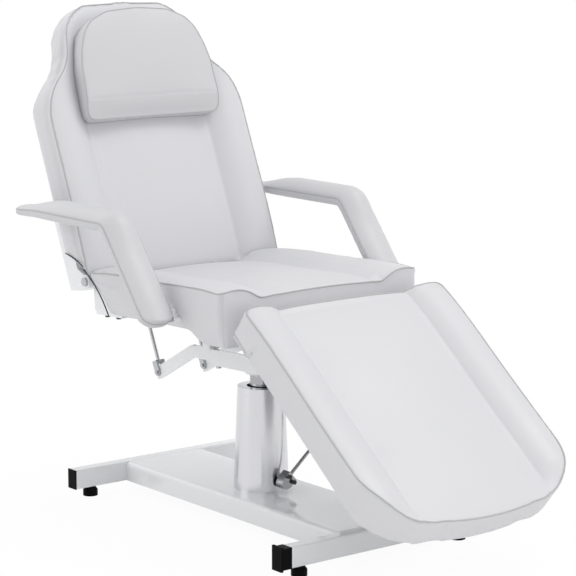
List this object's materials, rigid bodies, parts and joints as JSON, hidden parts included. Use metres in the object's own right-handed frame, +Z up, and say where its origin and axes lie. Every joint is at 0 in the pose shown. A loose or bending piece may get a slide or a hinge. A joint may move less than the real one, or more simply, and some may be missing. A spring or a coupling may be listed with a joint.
{
  "type": "hydraulic massage bed",
  "caption": "Padded treatment bed on a chrome hydraulic column and a flat steel base, with reclining backrest, swinging leg rest, padded armrests and head pillow.",
  "frame": {"origin": "middle of the footprint on the floor", "axes": "+Z up, +Y towards the head end, X across the bed"},
  "size_m": [0.818, 1.512, 1.2396],
  "materials": {
    "white_vinyl": "satin",
    "white_enamel": "gloss",
    "chrome": "polished",
    "satin_chrome": "satin",
    "black_plastic": "satin",
    "black_rubber": "matte",
    "plywood": "matte",
    "black_metal": "satin",
    "zinc_steel": "satin",
    "pump_casting": "matte"
  },
  "bodies": {
    "base": {"front_foot_tube": "white_enamel", "rear_foot_tube": "white_enamel", "base_plate": "white_enamel", "rear_end_plugs": "black_plastic", "front_end_caps": "black_plastic", "foot_pads": "black_plastic", "foot_studs": "zinc_steel", "pump_base": "pump_casting", "pump_cylinder": "pump_casting", "gland": "pump_casting", "wiper_ring": "black_rubber", "pump_bolts": "zinc_steel", "column_cover": "satin_chrome"},
    "pedal": {"pedal_shaft": "chrome", "pedal_clamp": "chrome", "pedal_screws": "black_metal", "pedal_rod": "chrome", "pedal_pad": "black_rubber"},
    "piston": {"piston": "chrome"},
    "seat": {"piston_head": "white_enamel", "head_bolts": "zinc_steel", "support_rails": "white_enamel", "seat_posts": "white_enamel", "seat_cross_tubes": "white_enamel", "seat_nose_tube": "white_enamel", "seat_side_rails": "white_enamel", "seat_board": "plywood", "hinge_uprights": "white_enamel", "back_pivot_bolts": "zinc_steel", "back_pivot_washers": "black_metal", "seat_cushion": "white_vinyl", "strut_lower_pins": "zinc_steel", "leg_hinge_brackets": "white_enamel", "leg_hinge_bolts": "zinc_steel", "leg_strut_rear_pin": "zinc_steel", "left_armrest": "white_vinyl", "right_armrest": "white_vinyl", "arm_spacers": "white_enamel", "arm_bolts": "zinc_steel"},
    "backrest": {"back_cushion": "white_vinyl", "back_arms": "white_enamel", "back_lower_tube": "white_enamel", "back_upper_tube": "white_enamel", "back_uprights": "white_enamel", "back_board": "plywood", "strut_bracket": "white_enamel", "pillow": "white_vinyl"},
    "leg_rest": {"leg_cushion": "white_vinyl", "leg_arms": "white_enamel", "leg_cross_tubes": "white_enamel", "leg_board": "plywood", "leg_strut_bracket": "white_enamel"},
    "back_strut_lower": {"back_strut_rods": "zinc_steel"},
    "back_strut_upper": {"back_strut_cylinders": "black_metal", "strut_upper_pins": "zinc_steel"},
    "leg_strut_lower": {"leg_strut_cylinder": "black_metal"},
    "leg_strut_upper": {"leg_strut_rod": "zinc_steel", "leg_strut_front_pin": "zinc_steel"}
  },
  "joints": [
    {"name": "pedal_press", "type": "hinge", "parent": "base", "child": "pedal", "pos_m": [0, 0.089, 0.101], "axis": [0, 1, 0], "range_deg": [0, 22], "stiffness_Nm_per_rad": 8, "springref_deg": -14.32},
    {"name": "lift", "type": "slide", "parent": "base", "child": "piston", "axis": [0, 0, 1], "range_m": [0, 0.14]},
    {"name": "swivel", "type": "hinge", "parent": "piston", "child": "seat", "pos_m": [0, 0.089, 0.36], "axis": [0, 0, 1], "continuous": true},
    {"name": "back_recline", "type": "hinge", "parent": "seat", "child": "backrest", "pos_m": [0, 0.42693, 0.57572], "axis": [-1, 0, 0], "range_deg": [0, 67]},
    {"name": "leg_raise", "type": "hinge", "parent": "seat", "child": "leg_rest", "pos_m": [0, -0.16756, 0.51847], "axis": [-1, 0, 0], "range_deg": [0, 38.3]},
    {"name": "back_strut_swing", "type": "hinge", "parent": "seat", "child": "back_strut_lower", "pos_m": [0, 0.41464, 0.32056], "axis": [-1, 0, 0], "range_deg": [-0.5, 29.07]},
    {"name": "back_strut_stroke", "type": "slide", "parent": "back_strut_lower", "child": "back_strut_upper", "axis": [0, 0.4047, 0.9145], "range_m": [-0.17398, 0.001]},
    {"name": "leg_strut_swing", "type": "hinge", "parent": "seat", "child": "leg_strut_lower", "pos_m": [0, -0.03654, 0.40759], "axis": [-1, 0, 0], "range_deg": [-0.5, 27.47]},
    {"name": "leg_strut_stroke", "type": "slide", "parent": "leg_strut_lower", "child": "leg_strut_upper", "axis": [0, -0.9749, -0.2225], "range_m": [-0.001, 0.07315]}
  ],
  "couplings": [
    {"joint": "back_strut_swing", "follows": "back_recline", "ratio": 0.42645},
    {"joint": "back_strut_stroke", "follows": "back_recline", "m_per_rad": -0.14793},
    {"joint": "leg_strut_swing", "follows": "leg_raise", "ratio": 0.70409},
    {"joint": "leg_strut_stroke", "follows": "leg_raise", "m_per_rad": 0.10794}
  ]
}
